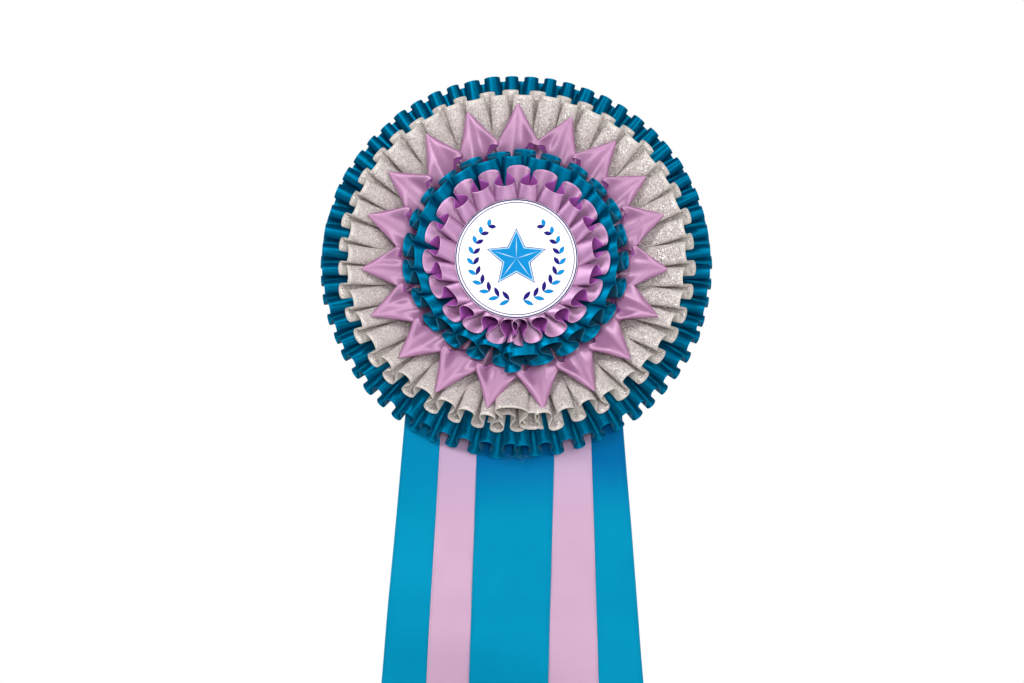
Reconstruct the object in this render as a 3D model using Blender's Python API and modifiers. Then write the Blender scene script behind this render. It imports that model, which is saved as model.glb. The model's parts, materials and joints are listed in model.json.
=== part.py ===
"""Award rosette: a pleated ribbon rosette in tiers, with five tails and a safety-bar pin.

Each ring of ribbon is one strip, gathered into box pleats and stitched flat along its
header. The rings are stacked on card and foam discs, and a printed disc closes the front.
The tails are stapled between the two rear cards, and a pin bar is glued to the back.

Parts of the rosette are modelled lying flat, in millimetres scaled to metres: X is right,
Y is up and Z is the height h above the rear face. The "rosette" empty stands them up, so
that the front faces -Y and the world origin is the middle of the rear face. The pin is
modelled upright in its own empty, with +Y pointing away from the rear face.
"""

import math

import bmesh
import bpy
from mathutils import Matrix, Vector

MM = 0.001
GAP = 0.3                     # air between neighbouring pieces
RIBBON_CAD = 0.8              # wall of a pleated ribbon, with its nap and stitching
TAIL_THICKNESS = 0.4
DISC_SEGMENTS = 48

# Discs of the stack: radius, rear height and thickness.
BACK_CARD = (88.0, 0.0, 1.2)
BASE_CARD = (95.0, 4.4, 1.5)
MIDDLE_PAD = (72.0, 7.0, 4.8)
UPPER_PAD = (56.0, 12.1, 4.5)
CENTRE_CARD = (42.0, 16.9, 3.5)
CENTRE_PAD = (30.0, 20.7, 4.2)
CENTRE_BOARD = (38.0, 25.2, 2.0)
CENTRE_PRINT = (38.0, 27.5, 0.3)

# Rings of box pleats. The header is flat, and the rim has a front and a back edge line,
# each as (radius, height).
RUFFLES = {
    "outer_teal": dict(pleats=60, header=(76.0, 88.0), header_h=7.4,
                       front=(122.0, 16.5), back=(122.8, 6.6)),
    "silver": dict(pleats=45, header=(60.5, 70.0), header_h=12.9,
                   front=(102.0, 40.0), back=(110.0, 27.5)),
    "inner_teal": dict(pleats=25, header=(44.5, 53.0), header_h=17.6,
                       front=(62.5, 42.0), back=(69.5, 33.0)),
    "inner_lilac": dict(pleats=20, header=(32.5, 40.5), header_h=21.4,
                        front=(47.0, 43.0), back=(58.0, 33.5)),
}
FRONT_HALF = 0.28             # half of a front loop, as a share of one pleat's pitch
BACK_HALF = 0.40              # where the side wall reaches the back line

POINT_COUNT = 19              # folded points between the silver and the inner teal ring
POINT_HEADER = (58.0, 62.5)   # radii of its stitched band
POINT_HEADER_H = 15.9
POINT_VALLEY = (74.0, 21.5)
POINT_TIP = (95.0, 39.0)
POINT_THICKNESS = 2.0

THREAD_RADIUS = 0.35
THREAD_INSET = 1.0            # the stitching lies this far inside the middle of a header
THREAD_SIDES = 5
THREAD_STEPS = 36

# Tails, measured where they cross the staple line; a positive lean swings the lower end right.
STAPLE_Y = -70.0
TAIL_TOP_Y = -60.0
HINGE_Y = -131.0
HINGE_H = 3.2
HINGE_CLEARANCE = 2.0
TAIL_END_Y = -430.0
NOTCH_DEPTH = 22.0
TEAL_WIDTH = 48.0
LILAC_WIDTH = 38.0
TAILS = {
    "tail_left_teal": dict(x=-43.1, lean=-4.5, width=TEAL_WIDTH, h=2.3),
    "tail_left_lilac": dict(x=-26.2, lean=-2.9, width=LILAC_WIDTH, h=3.0),
    "tail_centre_teal": dict(x=0.8, lean=-1.7, width=TEAL_WIDTH, h=3.7),
    "tail_right_lilac": dict(x=26.2, lean=1.4, width=LILAC_WIDTH, h=3.0),
    "tail_right_teal": dict(x=39.9, lean=4.0, width=TEAL_WIDTH, h=2.3),
}

STAPLES = {"far_left": -57.0, "left": -33.0, "centre": 0.0, "right": 33.0, "far_right": 57.0}
STAPLE_WIDTH = 9.0
STAPLE_WIRE = 0.5
STAPLE_REAR_H = 1.75
STAPLE_FRONT_H = 6.45
STAPLE_CLINCH = 3.0
STAPLE_HOLE = 1.2

# Safety-bar pin, relative to its own empty: X right, Y rearward, Z up.
PIN_Z = 45.0
RECESS = (46.0, 12.0, 0.4)    # shallow seat for the bar: length, height, depth
BAR = (42.0, 6.0, 0.8)
BAR_FRONT_Y = -0.1
PIN_HINGE_X = -17.0
PIN_HINGE_Y = 3.2
PIN_WIRE = 0.5                # radius
EYE_RADIUS = 1.4
PIN_TIP_X = 22.0
EAR_THICKNESS = 0.8
RIVET_EAR = (1.8, 1.7)        # half width, reach past the rivet's axis
CATCH_EAR_HALF = 2.8
PIN_GROUND = (6.0, 0.12)      # length of the ground point, radius of its tip as a share
RIVET_RADIUS = 0.6
RIVET_HEAD = (1.1, 0.4)
CATCH_Y = PIN_HINGE_Y + EYE_RADIUS
CATCH_EARS_X = (14.0, 19.2)
CATCH_TUBE = (13.6, 20.4)
CATCH_OUTER = 1.6
CATCH_INNER = 0.85
CATCH_COLLAR = 2.4
CATCH_SLOT = 1.3
CATCH_LEVER = (1.4, 0.6, 4.4)  # half width, half thickness, reach from the catch's axis

COLOURS = {
    "teal_satin": ((0.0, 0.29, 0.53), 0.35, 0.0),
    "lilac_satin": ((0.64, 0.45, 0.61), 0.38, 0.0),
    "silver_glitter": ((0.55, 0.51, 0.48), 0.45, 0.3),
    "white_print": ((0.95, 0.95, 0.95), 0.4, 0.0),
    "white_board": ((0.85, 0.85, 0.83), 0.7, 0.0),
    "grey_board": ((0.45, 0.43, 0.40), 0.9, 0.0),
    "white_foam": ((0.88, 0.88, 0.86), 0.95, 0.0),
    "bright_steel": ((0.72, 0.72, 0.74), 0.25, 1.0),
    "teal_thread": ((0.0, 0.20, 0.36), 0.6, 0.0),
    "lilac_thread": ((0.50, 0.34, 0.48), 0.6, 0.0),
    "grey_thread": ((0.45, 0.43, 0.42), 0.6, 0.0),
}


# ---------------------------------------------------------------- scene and materials

def clear_scene():
    for obj in list(bpy.data.objects):
        bpy.data.objects.remove(obj, do_unlink=True)


def make_collection(name, hidden=False):
    collection = bpy.data.collections.new(name)
    bpy.context.scene.collection.children.link(collection)
    collection.hide_render = hidden
    return collection


def make_material(name):
    colour, roughness, metallic = COLOURS[name]
    material = bpy.data.materials.new(name)
    material.use_nodes = True
    shader = material.node_tree.nodes["Principled BSDF"]
    shader.inputs["Base Color"].default_value = (*colour, 1.0)
    shader.inputs["Roughness"].default_value = roughness
    shader.inputs["Metallic"].default_value = metallic
    material.diffuse_color = (*colour, 1.0)
    return material


def make_empty(name, location=(0, 0, 0), rotation=(0, 0, 0)):
    empty = bpy.data.objects.new(name, None)
    empty.location = Vector(location) * MM
    empty.rotation_euler = rotation
    PARTS.objects.link(empty)
    return empty


def add_object(name, data, material, parent, location=(0, 0, 0)):
    """Links a piece under its parent, at a location in millimetres."""
    obj = bpy.data.objects.new(name, data)
    obj.location = Vector(location) * MM
    obj.parent = parent
    if material:
        data.materials.append(MATERIALS[material])
    PARTS.objects.link(obj)
    return obj


def add_cutter(name, mesh, parent):
    cutter = bpy.data.objects.new(name, mesh)
    cutter.parent = parent
    cutter.hide_render = True
    cutter.display_type = "WIRE"
    CUTTERS.objects.link(cutter)
    return cutter


def add_boolean(obj, other, operation):
    modifier = obj.modifiers.new(f"{operation.lower()} {other.name}", "BOOLEAN")
    modifier.operation = operation
    modifier.solver = "EXACT"
    modifier.object = other


# ---------------------------------------------------------------- shapes

def mesh_from(bm, name, smooth_angle=None):
    bm.transform(Matrix.Scale(MM, 4))
    mesh = bpy.data.meshes.new(name)
    bm.to_mesh(mesh)
    bm.free()
    if smooth_angle is not None:
        mesh.shade_smooth()
        mesh.set_sharp_from_angle(angle=math.radians(smooth_angle))
    return mesh


def box_mesh(name, low, high):
    """A box between two corners."""
    low, high = Vector(low), Vector(high)
    size = Matrix.Diagonal((*(high - low), 1.0))
    bm = bmesh.new()
    bmesh.ops.create_cube(bm, size=1.0, matrix=Matrix.Translation((low + high) / 2) @ size)
    return mesh_from(bm, name)


def rod_mesh(name, radius, start, end, segments):
    """A round bar from one point to another."""
    start, end = Vector(start), Vector(end)
    turn = Vector((0, 0, 1)).rotation_difference(end - start).to_matrix().to_4x4()
    bm = bmesh.new()
    bmesh.ops.create_cone(
        bm, cap_ends=True, segments=segments, radius1=radius, radius2=radius,
        depth=(end - start).length, matrix=Matrix.Translation((start + end) / 2) @ turn,
    )
    return mesh_from(bm, name, smooth_angle=40)


def polar(radius, height, angle):
    """A point of the rosette; the angle runs clockwise from the top, in radians."""
    return Vector((radius * math.sin(angle), radius * math.cos(angle), height))


def wire_object(name, points, radius, material, parent, location=(0, 0, 0), radii=None):
    """A round wire through the given points, with filled ends."""
    curve = bpy.data.curves.new(name, "CURVE")
    curve.dimensions = "3D"
    curve.bevel_depth = radius * MM
    curve.bevel_resolution = 2
    curve.use_fill_caps = True
    spline = curve.splines.new("POLY")
    spline.points.add(len(points) - 1)
    for number, (slot, point) in enumerate(zip(spline.points, points)):
        slot.co = (*(Vector(point) * MM), 1.0)
        slot.radius = radii[number] if radii else 1.0
    return add_object(name, curve, material, parent, location)


# ---------------------------------------------------------------- discs, pleats and points

def add_disc(name, size, material):
    radius, rear, thickness = size
    mesh = rod_mesh(name, radius, (0, 0, 0), (0, 0, thickness), DISC_SEGMENTS)
    return add_object(name, mesh, material, ROSETTE, (0, 0, rear))


def add_ruffle(tier, material):
    """One pleated ring: a flat header, then flutes between a front and a back edge line."""
    spec = RUFFLES[tier]
    pleats = spec["pleats"]
    pitch = 2 * math.pi / pleats
    inner_radius, outer_radius = spec["header"]
    columns = (
        (-BACK_HALF, spec["back"]),
        (-FRONT_HALF, spec["front"]),
        (FRONT_HALF, spec["front"]),
        (BACK_HALF, spec["back"]),
    )
    bm = bmesh.new()
    inner, header, rim = [], [], []
    for pleat in range(pleats):
        inner.append(bm.verts.new(polar(inner_radius, 0.0, (pleat - 0.5) * pitch)))
        for share, (radius, height) in columns:
            angle = (pleat + share) * pitch
            header.append(bm.verts.new(polar(outer_radius, 0.0, angle)))
            rim.append(bm.verts.new(polar(radius, height - spec["header_h"], angle)))
    count = len(header)
    for pleat in range(pleats):
        edge = [header[(4 * pleat + step) % count] for step in range(5)]
        bm.faces.new([inner[pleat], *edge, inner[(pleat + 1) % pleats]])
    for column in range(count):
        after = (column + 1) % count
        bm.faces.new([header[column], rim[column], rim[after], header[after]])
    bmesh.ops.recalc_face_normals(bm, faces=bm.faces)
    name = f"{tier}_ruffle"
    ruffle = add_object(name, mesh_from(bm, name), material, ROSETTE, (0, 0, spec["header_h"]))
    solidify = ruffle.modifiers.new("ribbon thickness", "SOLIDIFY")
    solidify.thickness = RIBBON_CAD * MM
    solidify.offset = 0.0
    return ruffle


def add_points_ribbon():
    """One ribbon folded into a ring of pointed leaves that stand out over the silver ring."""
    step = 2 * math.pi / POINT_COUNT
    bm = bmesh.new()
    rows = [[], [], []]
    for column in range(2 * POINT_COUNT):
        angle = (column - 1) * step / 2
        edge = POINT_TIP if column % 2 else POINT_VALLEY
        for row, radius in zip(rows, POINT_HEADER):
            row.append(bm.verts.new(polar(radius, POINT_HEADER_H, angle)))
        rows[2].append(bm.verts.new(polar(*edge, angle)))
    for lower, upper in zip(rows, rows[1:]):
        for column in range(2 * POINT_COUNT):
            after = (column + 1) % (2 * POINT_COUNT)
            bm.faces.new([lower[column], upper[column], upper[after], lower[after]])
    bmesh.ops.recalc_face_normals(bm, faces=bm.faces)
    mesh = mesh_from(bm, "lilac_points_ribbon")
    ribbon = add_object("lilac_points_ribbon", mesh, "lilac_satin", ROSETTE)
    solidify = ribbon.modifiers.new("folded thickness", "SOLIDIFY")
    solidify.thickness = POINT_THICKNESS * MM
    solidify.offset = 0.0


def add_thread(name, radius, height, material):
    """The ring of running stitches that holds a header down."""
    bm = bmesh.new()
    section = []
    for side in range(THREAD_SIDES):
        angle = 2 * math.pi * side / THREAD_SIDES
        place = (radius + THREAD_RADIUS * math.cos(angle), 0.0, THREAD_RADIUS * math.sin(angle))
        section.append(bm.verts.new(place))
    loop = [bm.edges.new((section[i - 1], section[i])) for i in range(THREAD_SIDES)]
    bmesh.ops.spin(
        bm, geom=section + loop, cent=(0, 0, 0), axis=(0, 0, 1), dvec=(0, 0, 0),
        angle=2 * math.pi, steps=THREAD_STEPS, use_merge=True,
    )
    bmesh.ops.remove_doubles(bm, verts=bm.verts, dist=0.01)
    bmesh.ops.recalc_face_normals(bm, faces=bm.faces)
    mesh = mesh_from(bm, name, smooth_angle=80)
    return add_object(name, mesh, material, ROSETTE, (0, 0, height))


def add_threads():
    """Each thread lies on its header, a gap above the ribbon."""
    lift = RIBBON_CAD / 2 + GAP + THREAD_RADIUS
    colours = {"outer_teal": "teal_thread", "silver": "grey_thread",
               "inner_teal": "teal_thread", "inner_lilac": "lilac_thread"}
    for tier, colour in colours.items():
        spec = RUFFLES[tier]
        middle = sum(spec["header"]) / 2 - THREAD_INSET
        add_thread(f"{tier}_thread", middle, spec["header_h"] + lift, colour)
    points_height = POINT_HEADER_H + POINT_THICKNESS / 2 + GAP + THREAD_RADIUS
    add_thread("points_thread", sum(POINT_HEADER) / 2, points_height, "lilac_thread")


# ---------------------------------------------------------------- tails and staples

def tail_x(tail, y):
    """The middle of a tail at a height y, given its lean."""
    return tail["x"] + (STAPLE_Y - y) * math.tan(math.radians(tail["lean"]))


def add_tail_root(name, tail):
    """The held end of a tail, from under the cards to just above the hinge line."""
    bottom = HINGE_Y + HINGE_CLEARANCE
    length = TAIL_TOP_Y - bottom
    middle_y = (TAIL_TOP_Y + bottom) / 2
    middle = Vector((tail_x(tail, middle_y), middle_y, tail["h"] + TAIL_THICKNESS / 2))
    size = Matrix.Diagonal((tail["width"], length, TAIL_THICKNESS, 1.0))
    lean = Matrix.Identity(4)
    lean[0][1] = -math.tan(math.radians(tail["lean"]))
    bm = bmesh.new()
    bmesh.ops.create_cube(bm, size=1.0, matrix=Matrix.Translation(middle) @ lean @ size)
    material = "teal_satin" if name.endswith("teal") else "lilac_satin"
    return add_object(f"{name}_root", mesh_from(bm, f"{name}_root"), material, ROSETTE)


def add_tail_lower(name, tail, hinge):
    """The hanging length of a tail, with a notched end, about a point on the hinge line."""
    top = HINGE_Y - HINGE_CLEARANCE
    half = tail["width"] / 2
    pivot_x = tail_x(tail, HINGE_Y)
    corners = (
        (tail_x(tail, top) - half, top),
        (tail_x(tail, TAIL_END_Y) - half, TAIL_END_Y),
        (tail_x(tail, TAIL_END_Y + NOTCH_DEPTH), TAIL_END_Y + NOTCH_DEPTH),
        (tail_x(tail, TAIL_END_Y) + half, TAIL_END_Y),
        (tail_x(tail, top) + half, top),
    )
    curve = bpy.data.curves.new(f"{name}_lower", "CURVE")
    curve.dimensions = "2D"
    curve.fill_mode = "BOTH"
    curve.extrude = TAIL_THICKNESS / 2 * MM
    spline = curve.splines.new("POLY")
    spline.points.add(len(corners) - 1)
    for slot, (x, y) in zip(spline.points, corners):
        slot.co = ((x - pivot_x) * MM, (y - HINGE_Y) * MM, 0.0, 1.0)
    spline.use_cyclic_u = True
    material = "teal_satin" if name.endswith("teal") else "lilac_satin"
    height = tail["h"] + TAIL_THICKNESS / 2 - HINGE_H
    add_object(f"{name}_lower", curve, material, hinge, (pivot_x, 0, height))


def add_staple(name, x):
    """A wire staple, its crown behind the tails and its legs clinched on the base card."""
    half = STAPLE_WIDTH / 2
    fold = half - STAPLE_CLINCH
    points = (
        (x - fold, STAPLE_Y, STAPLE_FRONT_H),
        (x - half, STAPLE_Y, STAPLE_FRONT_H),
        (x - half, STAPLE_Y, STAPLE_REAR_H),
        (x + half, STAPLE_Y, STAPLE_REAR_H),
        (x + half, STAPLE_Y, STAPLE_FRONT_H),
        (x + fold, STAPLE_Y, STAPLE_FRONT_H),
    )
    wire_object(f"staple_{name}", points, STAPLE_WIRE / 2, "bright_steel", ROSETTE)


def pierce(pieces, x, name):
    """Cuts the two leg holes of a staple through every piece that it passes."""
    for side in (-1, 1):
        centre = x + side * STAPLE_WIDTH / 2
        half = STAPLE_HOLE / 2
        mesh = box_mesh(
            f"{name}_hole", (centre - half, STAPLE_Y - half, STAPLE_REAR_H),
            (centre + half, STAPLE_Y + half, STAPLE_FRONT_H),
        )
        cutter = add_cutter(f"hole_{name}_{'left' if side < 0 else 'right'}", mesh, ROSETTE)
        for piece in pieces:
            add_boolean(piece, cutter, "DIFFERENCE")


def add_tails(base_card):
    hinge = make_empty("tail_hinge", (0, HINGE_Y, HINGE_H))
    hinge.parent = ROSETTE
    roots = {}
    for name, tail in TAILS.items():
        roots[name] = add_tail_root(name, tail)
        add_tail_lower(name, tail, hinge)
    through = {
        "far_left": ["tail_left_teal"],
        "left": ["tail_left_teal", "tail_left_lilac"],
        "centre": ["tail_centre_teal"],
        "right": ["tail_right_teal", "tail_right_lilac"],
        "far_right": ["tail_right_teal"],
    }
    for name, x in STAPLES.items():
        add_staple(name, x)
        pierce([base_card] + [roots[tail] for tail in through[name]], x, name)


# ---------------------------------------------------------------- safety-bar pin

def add_pin_bar(back_card):
    """The glued bar, with two ears for the rivet and two open ears for the catch."""
    length, height, thickness = BAR
    rear_y = BAR_FRONT_Y + thickness
    bar = add_object(
        "pin_bar",
        box_mesh("pin_bar", (-length / 2, BAR_FRONT_Y, -height / 2),
                 (length / 2, rear_y, height / 2)),
        "bright_steel", PIN,
    )
    ear_front = BAR_FRONT_Y + thickness / 2
    ear_half, ear_reach = RIVET_EAR
    inside = PIN_WIRE + GAP
    for side, name in ((1, "upper"), (-1, "lower")):
        low, high = sorted((side * inside, side * (inside + EAR_THICKNESS)))
        ear = box_mesh(f"{name}_rivet_ear", (PIN_HINGE_X - ear_half, ear_front, low),
                       (PIN_HINGE_X + ear_half, PIN_HINGE_Y + ear_reach, high))
        add_boolean(bar, add_cutter(f"{name}_rivet_ear", ear, PIN), "UNION")
    for number, x in enumerate(CATCH_EARS_X):
        ear = box_mesh(f"catch_ear_{number}", (x, ear_front, -CATCH_EAR_HALF),
                       (x + EAR_THICKNESS, CATCH_Y + CATCH_OUTER, CATCH_EAR_HALF))
        add_boolean(bar, add_cutter(f"catch_ear_{number}", ear, PIN), "UNION")
    rivet_hole = rod_mesh("rivet_hole", RIVET_RADIUS + GAP, (PIN_HINGE_X, PIN_HINGE_Y, -4),
                          (PIN_HINGE_X, PIN_HINGE_Y, 4), 20)
    add_boolean(bar, add_cutter("rivet_hole", rivet_hole, PIN), "DIFFERENCE")
    catch_hole = rod_mesh("catch_hole", CATCH_OUTER + GAP, (CATCH_EARS_X[0] - 1, CATCH_Y, 0),
                          (CATCH_EARS_X[1] + 2, CATCH_Y, 0), 24)
    add_boolean(bar, add_cutter("catch_hole", catch_hole, PIN), "DIFFERENCE")
    long, tall, deep = RECESS
    seat = box_mesh("bar_seat", (-long / 2, -deep, -tall / 2), (long / 2, deep, tall / 2))
    add_boolean(back_card, add_cutter("bar_seat", seat, PIN), "DIFFERENCE")


def add_rivet():
    """A shaft with two heads, turned about the pin's hinge axis."""
    head_radius, head_height = RIVET_HEAD
    under = PIN_WIRE + GAP + EAR_THICKNESS + GAP
    top = under + head_height
    outline = [(0, top), (head_radius, top), (head_radius, under), (RIVET_RADIUS, under),
               (RIVET_RADIUS, -under), (head_radius, -under), (head_radius, -top), (0, -top)]
    bm = bmesh.new()
    verts = [bm.verts.new((x, 0, z)) for x, z in outline]
    for first, second in zip(verts, verts[1:]):
        bm.edges.new((first, second))
    rivet = add_object("pin_rivet", mesh_from(bm, "pin_rivet"), "bright_steel", PIN,
                       (PIN_HINGE_X, PIN_HINGE_Y, 0))
    screw = rivet.modifiers.new("turning", "SCREW")
    screw.axis = "Z"
    screw.steps = 16
    screw.render_steps = 16
    screw.use_merge_vertices = True
    screw.merge_threshold = 0.00001


def add_pin_arm():
    """The pin wire: an eye around the rivet, a straight arm and a ground point."""
    eye = []
    for step in range(13):
        angle = math.radians(90 + 300 * (1 - step / 12))
        eye.append((EYE_RADIUS * math.cos(angle), EYE_RADIUS * math.sin(angle), 0.0))
    reach = PIN_TIP_X - PIN_HINGE_X
    ground, tip = PIN_GROUND
    points = eye + [(reach - ground, EYE_RADIUS, 0.0), (reach, EYE_RADIUS, 0.0)]
    radii = [1.0] * (len(points) - 1) + [tip]
    wire_object("pin_arm", points, PIN_WIRE, "bright_steel", PIN,
                (PIN_HINGE_X, PIN_HINGE_Y, 0), radii)


def add_catch():
    """A slotted tube with a collar and lever, turned about the pin wire's seat."""
    start, end = CATCH_TUBE
    catch = add_object(
        "safety_catch", rod_mesh("safety_catch", CATCH_OUTER, (start, 0, 0), (end, 0, 0), 24),
        "bright_steel", PIN, (0, CATCH_Y, 0),
    )
    seat = make_empty("catch_axis", (0, CATCH_Y, 0))
    seat.parent = PIN
    collar_start = CATCH_EARS_X[0] + EAR_THICKNESS + GAP
    collar_end = CATCH_EARS_X[1] - GAP
    collar = rod_mesh("catch_collar", CATCH_COLLAR, (collar_start, 0, 0), (collar_end, 0, 0), 24)
    add_boolean(catch, add_cutter("catch_collar", collar, seat), "UNION")
    half, half_thick, reach = CATCH_LEVER
    middle = (collar_start + collar_end) / 2
    root = (CATCH_INNER + CATCH_OUTER) / 2
    lever = box_mesh("catch_lever", (middle - half, -half_thick, -reach),
                     (middle + half, half_thick, -root))
    add_boolean(catch, add_cutter("catch_lever", lever, seat), "UNION")
    bore = rod_mesh("catch_bore", CATCH_INNER, (start - 1, 0, 0), (end + 1, 0, 0), 24)
    add_boolean(catch, add_cutter("catch_bore", bore, seat), "DIFFERENCE")
    slot = box_mesh("catch_slot", (start - 1, 0, -CATCH_SLOT / 2),
                    (end + 1, CATCH_COLLAR + 1, CATCH_SLOT / 2))
    add_boolean(catch, add_cutter("catch_slot", slot, seat), "DIFFERENCE")


# ---------------------------------------------------------------- the award rosette

clear_scene()
PARTS = make_collection("award_rosette")
CUTTERS = make_collection("cutters", hidden=True)
MATERIALS = {name: make_material(name) for name in COLOURS}
ROSETTE = make_empty("rosette", rotation=(math.radians(90), 0, 0))
PIN = make_empty("pin", (0, 0, PIN_Z))

back = add_disc("back_card", BACK_CARD, "grey_board")
base = add_disc("base_card", BASE_CARD, "grey_board")
add_disc("middle_pad", MIDDLE_PAD, "white_foam")
add_disc("upper_pad", UPPER_PAD, "white_foam")
add_disc("centre_card", CENTRE_CARD, "grey_board")
add_disc("centre_pad", CENTRE_PAD, "white_foam")
add_disc("centre_board", CENTRE_BOARD, "white_board")
add_disc("centre_print", CENTRE_PRINT, "white_print")

add_ruffle("outer_teal", "teal_satin")
add_ruffle("silver", "silver_glitter")
add_ruffle("inner_teal", "teal_satin")
add_ruffle("inner_lilac", "lilac_satin")
add_points_ribbon()
add_threads()
add_tails(base)

add_pin_bar(back)
add_rivet()
add_pin_arm()
add_catch()
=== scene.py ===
"""The looks of the award rosette: pleated satin rings, folded points, glitter ribbon and tails.

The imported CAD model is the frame. Each soft CAD solid is replaced by ribbon that is built here
in the same place, and the cards, staples and pin keep their CAD shapes with better materials.
Lengths are in millimetres until they reach a mesh. A point of the rosette is given by its
radius, its height towards the viewer and its clock angle from the top.
"""

import json
import math

import bmesh
import bpy
import numpy as np
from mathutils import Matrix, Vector


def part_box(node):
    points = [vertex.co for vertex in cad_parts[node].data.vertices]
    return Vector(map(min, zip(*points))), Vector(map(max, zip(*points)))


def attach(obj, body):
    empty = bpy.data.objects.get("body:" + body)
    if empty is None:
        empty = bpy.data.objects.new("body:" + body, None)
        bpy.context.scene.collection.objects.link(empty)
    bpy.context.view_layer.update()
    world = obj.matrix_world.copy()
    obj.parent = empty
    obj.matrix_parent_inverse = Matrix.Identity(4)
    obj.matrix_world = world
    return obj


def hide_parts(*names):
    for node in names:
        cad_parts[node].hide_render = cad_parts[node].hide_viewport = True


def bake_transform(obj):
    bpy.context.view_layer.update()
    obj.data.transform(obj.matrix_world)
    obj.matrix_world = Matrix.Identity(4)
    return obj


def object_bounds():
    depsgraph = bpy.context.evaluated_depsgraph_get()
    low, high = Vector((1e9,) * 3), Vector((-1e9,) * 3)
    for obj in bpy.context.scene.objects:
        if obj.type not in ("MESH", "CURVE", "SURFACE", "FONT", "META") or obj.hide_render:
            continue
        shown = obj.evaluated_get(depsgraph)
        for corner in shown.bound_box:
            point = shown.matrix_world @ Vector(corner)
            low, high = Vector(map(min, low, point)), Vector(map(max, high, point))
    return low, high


MM = 0.001
RIBBON = 0.22                 # thickness of a satin ribbon
SEAM = math.pi                # clock angle where the ends of each ring's ribbon overlap

# The pleated rings. A radius is a share of the outer radius of the ring's CAD box, and a rise is
# a share of the height of that box. Each flute has a front line and a back line.
#   header   inner radius of the pressed strip that is sewn down
#   start    radius and rise of the front line, then of the back line, at the header
#   rim      the same at the rim
#   oval     front, back: how much wider the rim is at the sides and narrower at the top
#   sag      how far the front of the rim draws in at the bottom
#   swing    header, rim: how far the ribbon's heading swings, which closes the necks of the loops
#   bias     header, rim: above 0 the front loops are narrower than the back ones
#   crowd    how much closer together the pleats lie at the seam
#   jitter   size of the random offsets of the loops
#   overlap  how many pleats lie double at the seam
#   last     width of the last pleat against that of its neighbours
#   end      how far the cut end stands outwards and forwards, in millimetres
RINGS = {
    "outer_teal": dict(
        pleats=60, header=0.618, start=((0.706, 0.24), (0.715, 0.04)),
        rim=((0.992, 1.12), (0.995, -0.10)), oval=(0.003, 0.003), sag=0.050,
        swing=(2.16, 1.90), bias=(-0.14, -0.10), crowd=-0.22, jitter=0.5,
        overlap=0.5, last=1.0, end=(0.0, 1.5),
        face="teal_face", back_face="teal_back", seed=11,
    ),
    "silver": dict(
        pleats=45, header=0.548, start=((0.617, 0.10), (0.644, 0.0)),
        rim=((0.931, 1.02), (1.000, 0.53)), oval=(0.010, 0.006), sag=0.0,
        swing=(2.17, 1.96), bias=(-0.15, -0.16), crowd=0.15, jitter=0.9,
        overlap=2.2, last=1.9, end=(-4.0, 5.5),
        face="glitter_face", back_face="glitter_back", seed=23,
    ),
    "inner_teal": dict(
        pleats=25, header=0.638, start=((0.70, 0.13), (0.774, 0.0)),
        rim=((0.885, 1.00), (0.992, 0.60)), oval=(0.012, 0.008), sag=0.0,
        swing=(2.17, 2.05), bias=(-0.10, -0.08), crowd=0.12, jitter=1.0,
        overlap=0.8, last=1.3, end=(4.0, 3.0),
        face="teal_face", back_face="teal_back", seed=37,
    ),
    "inner_lilac": dict(
        pleats=20, header=0.557, start=((0.655, 0.19), (0.70, 0.0)),
        rim=((0.775, 0.99), (0.985, 0.73)), oval=(0.045, 0.012), sag=0.0,
        swing=(2.17, 2.02), bias=(0.06, 0.0), crowd=0.20, jitter=1.0,
        overlap=0.5, last=1.0, end=(0.0, 2.0),
        face="lilac_face", back_face="lilac_back", seed=41,
    ),
}
FOLD_SAMPLES = 30             # columns of one pleat
FLUTE_ROWS = 14               # rows from the header to the rim
FULLNESS = 2.6                # length of the ribbon in a pleat against the width of the pleat
WIDTH_SCATTER = 0.10          # random share of a pleat's width
CROWD_REACH = 0.06            # share of the ring on each side of the seam where pleats crowd
BIAS_SCATTER = 0.12           # random part of a pleat's bias
SEAM_LOOSENESS = 1.3          # extra size of the offsets at the seam
SEAM_REACH = 0.05             # share of the pleats over which that fades
LOOP_OUT, LOOP_UP, LOOP_ASIDE = 0.9, 0.8, 1.1   # random offsets of a loop at the rim
SWELL, SWELL_SIZE = 0.35, 22  # height and size of the ribbon's slow unevenness

STRAND_COUNT = 11
STRAND_LENGTH = (3.5, 8.0)    # shortest and longest loose thread
STRAND = 0.14                 # its thickness

POINT_COUNT = 19
POINT_FOOT = (0.745, 0.50)    # radius and rise of a point's corners, as shares of its box
POINT_HALF = 15.4             # half of its width at the corners
POINT_PUFF = 6.4              # its thickness
POINT_SAG = 9.0               # how far its foot reaches inwards between the corners
POINT_DIP = 7.5               # how far it sinks there, under the inner teal ring
POINT_ROWS = 26
POINT_COLUMNS = 64
POINT_GIRTH = 62              # length of its ribbon round the foot
POINT_LENGTH = 36
BAND_COLUMNS = 360
BAND_INNER, BAND_OUTER = 0.545, 0.79  # radii of the points' stitched band, as shares of its box
BAND_REAR, BAND_RISE = 1.2, 0.36      # its height over the rear, and its rise as a share

TAIL_TOP = -125               # level at which the tails come out from under the rosette
TAIL_FREE = 300               # length over which they come away from it
TAIL_NOTCH = 22.0             # depth of the cut in a tail's end
TAIL_GAP = 0.9                # how far each layer of tails stands off the one behind it
TAIL_ROWS, TAIL_COLUMNS = 150, 17

ROUND = 192                   # corners of a round card or line
INK = 0.04                    # thickness of a printed shape


# ---------------------------------------------------------------- small tools

def place(radius, height, angle):
    """World coordinates in metres of points given in the rosette's own terms."""
    radius, height, angle = np.broadcast_arrays(radius, height, angle)
    return np.stack((radius * np.sin(angle), -height, radius * np.cos(angle)), axis=-1) * MM


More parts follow.
